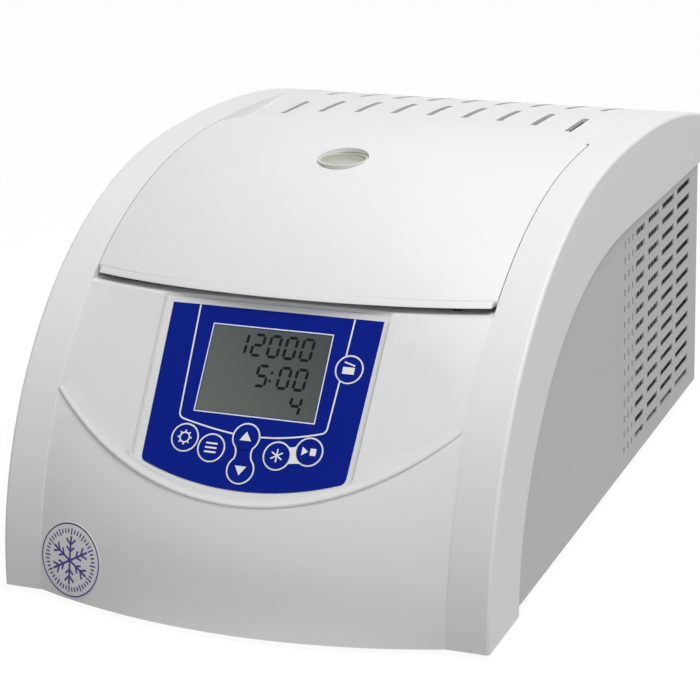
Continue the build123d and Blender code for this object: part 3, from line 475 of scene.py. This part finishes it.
def lip_line(x):
    """Place up the slope of the arched lip under the panel, in millimetres."""
    return millimetres("lip_low") + LIP_BOW[0] * x * x + LIP_BOW[1] * x ** 4


def lip_lean(x):
    """Slope of that line."""
    return 2 * LIP_BOW[0] * x + 4 * LIP_BOW[1] * x ** 3


def lip_section(x):
    """Offsets across the lip, up the slope and out of it, in millimetres.

    Beside the panel's opening the inner edge reaches further up, over the crease of the shoulders.
    """
    narrow, wide, opening_half = 5.2, 13.0, 86
    inner = min(narrow + 0.8 * max(abs(x) - opening_half, 0), wide)
    height = millimetres("lip_height")
    return [(inner, 0.03), (4.0, 0.05), (2.6, 0.4 * height), (1.5, 0.85 * height), (0.9, height),
            (0.3, 0.92 * height), (-0.3, 0.6 * height), (-0.9, -0.3), (-1.4, -3.0)]


def lid_line(x):
    """Depth of the lid's bowed front edge, in metres."""
    return FOOT * MM + sizes().lid_front + LID_BOW[0] * x * x + LID_BOW[1] * x ** 4


def lid_section(share, low):
    """Offsets inwards and heights of the lid's lower edge, in metres, at a share of its reach to the side.

    From under the lid's skin it falls with the lid's own slope to a narrow tip and returns below the lid.
    """
    fall = 0.905 - 0.19 * share * share
    start = low + 0.00525 - 0.0005 * share * share
    tip = (start - low - 0.0009) / fall
    return [(0.003, start + 0.0018 * fall - 0.0003), (0.0012, start), (0.0016 - tip, low + 0.0012),
            (0.0012 - tip, low + 0.0007), (0.0014 - tip, low + 0.0003), (0.001, low - 0.0001),
            (0.006, low + 0.0001), (0.006, low + 0.004)]


# Carried-over pieces with smooth curves

def smooth_copy(node, finish, body, angle=28.0, rounded_from=1.0):
    """A copy of a construction piece with shared corners and smooth curves.

    Edges that meet at more than an angle stay sharp. Further to the side than a distance the piece is rounded
    off in wide facets, so a wider angle still counts as a curve there.
    """
    rounded_angle = 40.0
    same_place = 0.000005
    work = bmesh.new()
    work.from_mesh(frame["nodes"][node].data)
    bmesh.ops.remove_doubles(work, verts=work.verts, dist=same_place)
    for line in work.edges:
        far = min(abs(line.verts[0].co.x), abs(line.verts[1].co.x))
        limit = math.radians(rounded_angle if far > rounded_from else angle)
        line.smooth = len(line.link_faces) != 2 or line.calc_face_angle(0.0) < limit
    mesh = bpy.data.meshes.new(node + "_skin")
    work.to_mesh(mesh)
    work.free()
    piece = dress(node + "_skin", mesh, body, finish, smooth=True)
    weighted = piece.modifiers.new("even shading", "WEIGHTED_NORMAL")
    weighted.keep_sharp = True
    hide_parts(node)


# What the sidebar shows

class CentrifugeSizes(bpy.types.PropertyGroup):
    """Sizes of the panel, its print, the lip under it and the lid's lower edge."""
    panel_slope: bpy.props.FloatProperty(
        name="Panel Slope", description="Angle of the control panel over the bench",
        default=math.radians(52.5), subtype="ANGLE")
    panel_side: bpy.props.FloatProperty(
        name="Panel Side", description="Middle of the panel to the right of the machine's middle",
        default=-0.0014, unit="LENGTH")
    panel_back: bpy.props.FloatProperty(
        name="Panel Depth", description="Depth of the panel's lower line", default=0.0202, unit="LENGTH")
    panel_up: bpy.props.FloatProperty(
        name="Panel Height", description="Height of the panel's lower line", default=0.0975, unit="LENGTH")
    shoulder_rise: bpy.props.FloatProperty(
        name="Shoulder Height", description="Height of the shoulders over the panel",
        default=0.0051, unit="LENGTH")
    shoulder_radius: bpy.props.FloatProperty(
        name="Shoulder Crown", description="Radius of the shoulders' crown", default=4.55, unit="LENGTH")
    lip_low: bpy.props.FloatProperty(
        name="Lip Place", description="Lowest point of the lip, up the panel",
        default=-0.0248, unit="LENGTH")
    lip_height: bpy.props.FloatProperty(
        name="Lip Height", description="Height of the lip over the shoulders",
        default=0.00055, unit="LENGTH")
    lip_reach: bpy.props.FloatProperty(
        name="Lip Reach", description="Half of the lip's width", default=0.146, unit="LENGTH")
    lid_front: bpy.props.FloatProperty(
        name="Lid Front", description="Depth of the middle of the lid's front edge",
        default=0.0908, unit="LENGTH")
    lid_reach: bpy.props.FloatProperty(
        name="Lid Reach", description="Half of the lid's front edge", default=0.1445, unit="LENGTH")
    lid_low: bpy.props.FloatProperty(
        name="Lid Low", description="Height of the lid's lower edge over the housing's",
        default=0.1962, unit="LENGTH")
    line_width: bpy.props.FloatProperty(
        name="Line Width", description="Width of the printed lines, in millimetres", default=1.1)
    line_height: bpy.props.FloatProperty(
        name="Ink Thickness", description="Thickness of the print, in millimetres", default=0.08)
    ring_radius: bpy.props.FloatProperty(
        name="Key Ring", description="Radius of the rings round the keys, in millimetres", default=9.5)
    badge_radius: bpy.props.FloatProperty(
        name="Badge", description="Radius of the round badge", default=0.0259, unit="LENGTH")
    lens: bpy.props.FloatProperty(
        name="Lens", description="Focal length of the view, in millimetres", default=122.8)


class CentrifugeTones(bpy.types.PropertyGroup):
    """Colours of the finishes."""
    housing: bpy.props.FloatVectorProperty(
        name="Housing", description="Moulded housing and lid", size=3, subtype="COLOR",
        default=(0.78, 0.78, 0.775))
    casing: bpy.props.FloatVectorProperty(
        name="Casing", description="Sheet metal sides", size=3, subtype="COLOR",
        default=(0.5, 0.505, 0.505))
    bezel: bpy.props.FloatVectorProperty(
        name="Frame", description="Frame round the controls", size=3, subtype="COLOR",
        default=(0.76, 0.76, 0.75))
    foil: bpy.props.FloatVectorProperty(
        name="Foil", description="Blue film of the controls", size=3, subtype="COLOR",
        default=(0.004, 0.0155, 0.25))
    print_light: bpy.props.FloatVectorProperty(
        name="Light Print", description="Pale lines and symbols", size=3, subtype="COLOR",
        default=(0.84, 0.84, 0.84))
    # The display face's painted shade and painted light, blended across its face
    display_painted_shade: bpy.props.FloatVectorProperty(
        name="Display Shade", description="Darker part of the display", size=3, subtype="COLOR",
        default=(0.053, 0.066, 0.066))
    display_painted_light: bpy.props.FloatVectorProperty(
        name="Display Light", description="Lighter part of the display", size=3, subtype="COLOR",
        default=(0.13, 0.147, 0.132))
    segment: bpy.props.FloatVectorProperty(
        name="Segments", description="Figures of the display", size=3, subtype="COLOR",
        default=(0.010, 0.013, 0.015))
    badge: bpy.props.FloatVectorProperty(
        name="Badge", description="Print of the round badge", size=3, subtype="COLOR",
        default=(0.04, 0.035, 0.24))


# One operator for each group of pieces

finishes = {}


class CENTRIFUGE_OT_finishes(bpy.types.Operator):
    """Make the materials and give each construction piece its own"""
    bl_idname = "centrifuge.finishes"
    bl_label = "Finishes"

    def execute(self, context):
        finishes.update(make_finishes())
        for entry in frame["record"]["subparts"]:
            node = frame["nodes"][entry["node"]]
            slot_name = entry["material_slot"]
            finish = {"key_cream": "key_foil", "badge_blue": "badge_film"}.get(slot_name, slot_name)
            node.data.materials.clear()
            node.data.materials.append(finishes[finish])
        return {"FINISHED"}


class CENTRIFUGE_OT_housing(bpy.types.Operator):
    """Make the smooth skins of the housing, the lid and the casing"""
    bl_idname = "centrifuge.housing"
    bl_label = "Housing"

    def execute(self, context):
        smooth_copy("front_cover", finishes["housing_plastic"], "housing", 13.0,
                    rounded_from=0.1735)
        self.shoulder_lip()
        self.lid_lip()
        for node, finish, slot_name, body in (
                ("lid_shell", "housing_plastic", "housing_plastic", "lid"),
                ("side_cover", "casing_paint", "casing_paint", "housing"),
                ("control_bezel", "bezel_plastic", "bezel_plastic", "housing"),
                ("lid_window_frame", "ring_plastic", "liner_plastic", "lid"),
                ("lid_liner", "liner_plastic", "liner_plastic", "lid"),
                ("chamber_bowl", "bowl_steel", "bowl_steel", "housing"),
                ("rotor_body", "rotor_alloy", "rotor_alloy", "rotor"),
                ("rotor_lid", "rotor_alloy", "rotor_alloy", "rotor"),
                ("compressor", "black_paint", "black_paint", "housing")):
            smooth_copy(node, finishes[finish], body)
        return {"FINISHED"}

    def shoulder_lip(self):
        """The rounded lip where the shoulders and the panel's surround end over the crowned front."""
        work = bmesh.new()
        rows = []
        steps = 96
        for step in range(steps + 1):
            x = millimetres("lip_reach") * (2 * step / steps - 1)
            lean = lip_lean(x)
            length_along = math.hypot(1, lean)
            row = []
            for across, out in lip_section(x):
                side = x - across * lean / length_along
                row.append(work.verts.new((side * MM, (lip_line(x) + across / length_along) * MM,
                                           (shoulder_height(side) + out) * MM)))
            rows.append(row)
        join_rows(work, rows)
        new_piece("shoulder_lip", work, "housing", finishes["housing_plastic"],
                  panel_matrix(), smooth=True)

    def lid_lip(self):
        """The crisp lower edge that carries the lid's curve on along its bowed front."""
        work = bmesh.new()
        rows = []
        steps = 72
        crease = math.radians(50)
        low = LIFT * MM + sizes().lid_low
        for step in range(steps + 1):
            share = 2 * step / steps - 1
            x = sizes().lid_reach * share
            front = lid_line(x)
            rows.append([work.verts.new((x, front + inward, up)) for inward, up in lid_section(share, low)])
        work.faces.new(rows[0])
        work.faces.new(rows[-1])
        join_rows(work, rows)
        for line in work.edges:
            line.smooth = line.calc_face_angle(0.0) < crease
        new_piece("lid_lip", work, "lid", finishes["housing_plastic"], smooth=True)


class CENTRIFUGE_OT_panel_lines(bpy.types.Operator):
    """Print the pale lines of the blue foil"""
    bl_idname = "centrifuge.panel_lines"
    bl_label = "Panel Lines"

    def execute(self, context):
        line = sizes().line_width
        border_width = 1.1
        left_bend, left_low, left_end = (-53.6, 36.0), (-49.5, 31.2), (-10.4, 24.6)
        right_end, right_low, right_bend = (8.2, 24.4), (49.5, 31.2), (53.6, 36.0)
        left = ([(-56.6, 112.2), left_bend] + curve_between(left_bend, (-53.4, 32.0), left_low, 8)
                + [left_low] + curve_between(left_low, (-28.0, 26.4), left_end, 12) + [left_end])
        right = ([right_end] + curve_between(right_end, (28.0, 25.0), right_low, 12)
                 + [right_low] + curve_between(right_low, (53.4, 32.0), right_bend, 8)
                 + [right_bend, (55.0, 69.4)])
        over_lid_key = [(55.7, 85.6), (56.6, 112.2)]
        printed_lines("panel_lines", [(left, False), (right, False), (over_lid_key, False)], line)
        window = [(-43.7, 37.7), (43.7, 37.7), (43.7, 99.8), (-43.7, 99.8)]
        printed_lines("display_border", [(window, True)], border_width)

        radius = sizes().ring_radius
        rings = []
        for key in ("set", "program", "precool", "start", "lid"):
            rings.append((arc(*KEYS[key], radius, 0, 350, 35), True))
        rings.append((self.arrow_outline(radius), True))
        printed_lines("key_rings", rings, line)
        web = flat_shape(self.web_outline(radius), 0.0, sizes().line_height / 2)
        new_piece("key_web", web, "housing", finishes["print_white"], panel_matrix())
        return {"FINISHED"}

    def arrow_outline(self, radius):
        """One outline round the two arrow keys, with a waist between them."""
        up_x, up_v = KEYS["up"]
        down_x, down_v = KEYS["down"]
        waist = (up_v + down_v) / 2
        waist_half = 4.2
        top = arc(up_x, up_v, radius, -48, 228, 30)
        low = arc(down_x, down_v, radius, 132, 408, 30)
        return (top + curve_between(top[-1], (up_x - waist_half, waist), low[0])
                + low + curve_between(low[-1], (down_x + waist_half, waist), top[0]))

    def web_outline(self, radius):
        """The pale web between the rings of the precool key and the start key."""
        first_x, first_v = KEYS["precool"]
        last_x, last_v = KEYS["start"]
        lower = curve_between((first_x + 8.2, first_v - 4.7), (first_x + 14.6, first_v - 3.2),
                              (last_x - 3.4, last_v - 8.9), 6)
        upper = curve_between((last_x - 8.2, last_v + 4.7), (first_x + 12.6, first_v + 6.8),
                              (first_x + 6.6, first_v + 6.8), 6)
        return (arc(first_x, first_v, radius, 46, -30, 12) + lower
                + arc(last_x, last_v, radius, 249, 150, 12) + upper)


class CENTRIFUGE_OT_key_signs(bpy.types.Operator):
    """Print a plain sign on each key"""
    bl_idname = "centrifuge.key_signs"
    bl_label = "Key Signs"

    def execute(self, context):
        rim = 3.4
        rays = [(spoke(45 * k, rim, 5.2), False) for k in range(8)]
        self.lines("set", "sign_set", [(arc(0, 0, rim, 0, 350, 24), True)] + rays)
        self.lines("program", "sign_program", [([(-4.2, v), (4.2, v)], False) for v in (-3.0, 0.0, 3.0)], 1.2)
        self.solid("up", "sign_up", [[(-4.2, -2.4), (4.2, -2.4), (0.0, 4.0)]])
        self.solid("down", "sign_down", [[(-4.2, 2.4), (0.0, -4.0), (4.2, 2.4)]])
        self.lines("precool", "sign_cool", [(spoke(90 + 60 * k, -4.6, 4.6), False) for k in range(3)])
        arrow = [(-4.8, -3.0), (-0.4, 0.0), (-4.8, 3.0)]
        square = [(1.0, -2.4), (5.2, -2.4), (5.2, 2.4), (1.0, 2.4)]
        self.solid("start", "sign_start", [arrow, square])
        self.solid("lid", "sign_lid", [[(-4.4, -3.4), (4.0, -3.4), (4.0, 1.4), (-4.4, 1.4)]])
        self.lines("lid", "sign_lid_leaf", [([(-4.0, 4.8), (3.8, 2.6)], False)])
        return {"FINISHED"}

    def lines(self, key, name, paths, width=1.0):
        """A sign of lines on a key; the paths are in millimetres from the key's middle."""
        x, v = KEYS[key]
        moved = [([(x + right, v + up) for right, up in points], closed) for points, closed in paths]
        printed_lines(name, moved, width, f"key_{key}_cap", KEY_TOP)

    def solid(self, key, name, outlines):
        """A sign of filled shapes on a key; the outlines are in millimetres from the key's middle."""
        x, v = KEYS[key]
        work = bmesh.new()
        for outline in outlines:
            moved = [(x + right, v + up) for right, up in outline]
            merge_into(work, flat_shape(moved, KEY_TOP, KEY_TOP + sizes().line_height / 2))
        new_piece(name, work, f"key_{key}_cap", finishes["print_white"], panel_matrix())


class CENTRIFUGE_OT_display_figures(bpy.types.Operator):
    """Set the figures of the liquid crystal display"""
    bl_idname = "centrifuge.display_figures"
    bl_label = "Display Figures"

    right = 30.4
    face_depth = 0.185
    stroke = 2.1
    pitch = 11.9
    colon_pitch = 0.36
    slant = 0.07

    def execute(self, context):
        work = bmesh.new()
        self.figure(work, "12000", 80.3, 7.2, 14.6)
        self.figure(work, "5:00", 59.4, 7.2, 14.2)
        self.figure(work, "4", 41.9, 7.0, 12.6)
        sunk = Matrix.Translation((0, 0, -self.face_depth * MM))
        new_piece("display_figures", work, "housing", finishes["print_dark"],
                  panel_matrix() @ sunk)
        return {"FINISHED"}

    def figure(self, work, text, low, wide, tall):
        """One number over its lower line, from the right, in slanted figures made of bars."""
        x = self.right
        first = len(work.verts)
        for sign in reversed(text):
            if sign == ":":
                dot = self.stroke * 1.1
                for share in (0.3, 0.7):
                    self.bar(work, x - self.pitch * 0.02 - 1.0, low + tall * share, dot, dot, False)
                x -= self.pitch * self.colon_pitch
                continue
            left = x - wide
            middle = left + wide / 2
            spots = {
                "a": (middle, low + tall, False),
                "b": (x, low + tall * 0.75, True),
                "c": (x, low + tall * 0.25, True),
                "d": (middle, low, False),
                "e": (left, low + tall * 0.25, True),
                "f": (left, low + tall * 0.75, True),
                "g": (middle, low + tall / 2, False),
            }
            for name in BARS[sign]:
                across, height, upright = spots[name]
                reach = (tall / 2 if upright else wide) - self.stroke * 0.5
                self.bar(work, across, height, reach, self.stroke, upright)
            x -= self.pitch
        work.verts.ensure_lookup_table()
        for vert in work.verts[first:]:
            vert.co.x += (vert.co.y - low * MM) * self.slant

    def bar(self, work, x, v, reach, width, upright):
        """One bar of a figure, with cut corners, in millimetres."""
        thickness = 0.03
        corner = 0.42
        across, along = (width, reach) if upright else (reach, width)
        size = Matrix.Diagonal((across * MM, along * MM, thickness * MM, 1))
        made = bmesh.ops.create_cube(work, size=1.0, matrix=Matrix.Translation((x * MM, v * MM, 0)) @ size)
        sides = set()
        for vert in made["verts"]:
            for line in vert.link_edges:
                if abs(line.verts[0].co.z - line.verts[1].co.z) > 1e-6:
                    sides.add(line)
        bmesh.ops.bevel(work, geom=list(sides), offset=width * corner * MM, affect="EDGES", segments=1,
                        profile=0.5, material=-1)


class CENTRIFUGE_OT_badge(bpy.types.Operator):
    """Print a plain snow crystal inside a ring with ticks on the round badge"""
    bl_idname = "centrifuge.badge_print"
    bl_label = "Badge Print"

    turn = -13.0
    lean = 9.0

    def execute(self, context):
        low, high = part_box("badge")
        middle = (low + high) / 2
        mesh = line_mesh("badge_print", self.ring_paths() + self.crystal_paths(), 1.6)
        around = Matrix.Rotation(math.radians(self.turn), 4, "Z")
        upright = Matrix.Rotation(math.radians(90 - self.lean), 4, "X")
        mesh.transform(Matrix.Translation(middle) @ around @ upright)
        self.lay_on_badge(mesh, middle, around)
        dress("badge_print", mesh, "housing", finishes["print_navy"])
        return {"FINISHED"}

    def ring_paths(self):
        """The ring near the rim and the ticks inside it, every fourth one longer."""
        rim = millimetres("badge_radius")
        paths = [(arc(0, 0, rim - 0.8, 0, 356, 88), True, 0.6)]
        ticks = 48
        for k in range(ticks):
            inner, outer = (rim - 7.2, rim - 4.2) if k % 4 else (rim - 8.2, rim - 3.6)
            paths.append((spoke(360 / ticks * k, inner, outer), False, 0.65))
        return paths

    def crystal_paths(self):
        """Six arms with two pairs of branches each."""
        paths = []
        for k in range(6):
            angle = math.radians(60 * k + 90)
            arm = (math.cos(angle), math.sin(angle))
            side = (-math.sin(angle), math.cos(angle))
            paths.append(([(arm[0] * r, arm[1] * r) for r in (0.0, 5.6, 11.2, 16.8)], False, 1.0))
            for root, reach in ((6.2, 4.2), (10.8, 5.0)):
                out = root + reach * 0.8
                for hand in (-1, 1):
                    away = reach * hand * 0.8
                    paths.append(([(arm[0] * root, arm[1] * root),
                                   (arm[0] * out + side[0] * away, arm[1] * out + side[1] * away)],
                                  False, 0.9))
        return paths

    def lay_on_badge(self, mesh, middle, around):
        """Move the print's points onto the badge's crowned face, almost flat and just over it."""
        gap = 0.00003
        flat = 0.05
        work = bmesh.new()
        work.from_mesh(frame["nodes"]["badge"].data)
        tree = BVHTree.FromBMesh(work)
        work.free()
        out = (around.to_3x3() @ Vector((0, -1, 0))).normalized()
        for vert in mesh.vertices:
            level = (vert.co - middle).dot(out)
            spot = tree.ray_cast(vert.co + out * 0.05, -out)[0]
            if spot is not None:
                vert.co = spot + out * (gap + max(level, 0.0) * flat)


class CENTRIFUGE_OT_stage(bpy.types.Operator):
    """Set the floor, the soft lamps and the camera"""
    bl_idname = "centrifuge.stage"
    bl_label = "Stage"

    def execute(self, context):
        scene = bpy.context.scene
        scene.view_settings.view_transform = "Standard"
        self.floor(scene)
        self.world(scene)
        self.lamp("top lamp", spot=(0.8, -0.3, 2.2), target=(0.0, 0.0, 0.15), size=1.2, power=40.0)
        self.lamp("front lamp", spot=(0.9, -2.0, 1.2), target=(0.0, 0.0, 0.12), size=1.6, power=4.5)
        self.camera(scene)
        return {"FINISHED"}

    def floor(self, scene):
        """A wide matt floor that looks white to the camera and in mirrors and panes."""
        half_side = 12.0
        glow_share = 0.86
        work = bmesh.new()
        bmesh.ops.create_grid(work, x_segments=1, y_segments=1, size=half_side)
        mesh = bpy.data.meshes.new("studio_floor")
        work.to_mesh(mesh)
        work.free()
        floor = bpy.data.objects.new("studio_floor", mesh)
        scene.collection.objects.link(floor)
        paint = new_paint("studio floor")
        seen = paint.seen("Is Camera Ray", "Is Glossy Ray", "Is Transmission Ray")
        grey = paint.blend(paint.grain(2.0), (0.48, 0.48, 0.48), (0.5, 0.5, 0.5))
        matt = paint.node("ShaderNodeBsdfDiffuse", Color=grey)
        glow = paint.node("ShaderNodeEmission", Color=rgba((1.0, 1.0, 1.0)), Strength=1.1)
        mixed = paint.node("ShaderNodeMixShader", at0=seen * glow_share, at1=matt.outputs[0],
                           at2=glow.outputs[0])
        paint.node("ShaderNodeOutputMaterial", Surface=mixed.outputs[0])
        mesh.materials.append(paint.holder)

    def world(self, scene):
        """A soft even light, with plain white behind everything that is seen."""
        scene.world = bpy.data.worlds.new("studio")
        paint = Paint(scene.world)
        seen = paint.seen("Is Camera Ray", "Is Transmission Ray", "Is Glossy Ray")
        soft = paint.node("ShaderNodeBackground", Color=rgba((0.97, 0.985, 1.0)), Strength=0.28)
        white = paint.node("ShaderNodeBackground", Color=rgba((1.0, 1.0, 1.0)), Strength=1.0)
        mixed = paint.node("ShaderNodeMixShader", at0=seen, at1=soft.outputs[0], at2=white.outputs[0])
        paint.node("ShaderNodeOutputWorld", Surface=mixed.outputs[0])

    def lamp(self, name, spot, target, size, power):
        """A square soft lamp that faces a point."""
        data = bpy.data.lights.new(name, "AREA")
        data.shape = "SQUARE"
        data.size = size
        data.energy = power
        lamp = bpy.data.objects.new(name, data)
        lamp.location = spot
        lamp.rotation_euler = (Vector(target) - Vector(spot)).to_track_quat("-Z", "Y").to_euler()
        bpy.context.scene.collection.objects.link(lamp)

    def camera(self, scene):
        """The photograph's viewpoint: the camera's place in metres and its turn in radians."""
        spot = (0.6309, -1.5530, 0.6889)
        yaw, pitch, roll = 0.396, 0.333, -0.034
        behind = Vector((math.sin(yaw) * math.cos(pitch), -math.cos(yaw) * math.cos(pitch), math.sin(pitch)))
        right = (-behind).cross(Vector((0, 0, 1))).normalized()
        up = right.cross(-behind)
        right_rolled = math.cos(roll) * right + math.sin(roll) * up
        up_rolled = -math.sin(roll) * right + math.cos(roll) * up
        turn = Matrix((right_rolled, up_rolled, behind)).transposed().to_4x4()
        data = bpy.data.cameras.new("view")
        data.lens = sizes().lens
        data.sensor_width = 36.0
        data.clip_end = 50.0
        camera = bpy.data.objects.new("view", data)
        camera.matrix_world = Matrix.Translation(spot) @ turn
        scene.collection.objects.link(camera)
        scene.camera = camera


class CENTRIFUGE_PT_sidebar(bpy.types.Panel):
    """Lists the steps and the values"""
    bl_idname = "CENTRIFUGE_PT_sidebar"
    bl_label = "Centrifuge"
    bl_space_type = "VIEW_3D"
    bl_region_type = "UI"
    bl_category = "Centrifuge"

    def draw(self, context):
        for step in STEPS:
            self.layout.operator(step.bl_idname)
        for group in (context.scene.centrifuge_sizes, context.scene.centrifuge_tones):
            for name in type(group).__annotations__:
                self.layout.prop(group, name)


STEPS = (
    CENTRIFUGE_OT_finishes,
    CENTRIFUGE_OT_stage,
    CENTRIFUGE_OT_housing,
    CENTRIFUGE_OT_panel_lines,
    CENTRIFUGE_OT_key_signs,
    CENTRIFUGE_OT_display_figures,
    CENTRIFUGE_OT_badge,
)
CLASSES = (CentrifugeSizes, CentrifugeTones, *STEPS, CENTRIFUGE_PT_sidebar)


def register():
    for entry in CLASSES:
        bpy.utils.register_class(entry)
    bpy.types.Scene.centrifuge_sizes = bpy.props.PointerProperty(type=CentrifugeSizes)
    bpy.types.Scene.centrifuge_tones = bpy.props.PointerProperty(type=CentrifugeTones)


def unregister():
    del bpy.types.Scene.centrifuge_tones
    del bpy.types.Scene.centrifuge_sizes
    for entry in reversed(CLASSES):
        bpy.utils.unregister_class(entry)


def main():
    """Register the add-on and run its steps in order."""
    register()
    for step in STEPS:
        group, name = step.bl_idname.split(".")
        getattr(getattr(bpy.ops, group), name)()


if __name__ == "__main__":
    main()
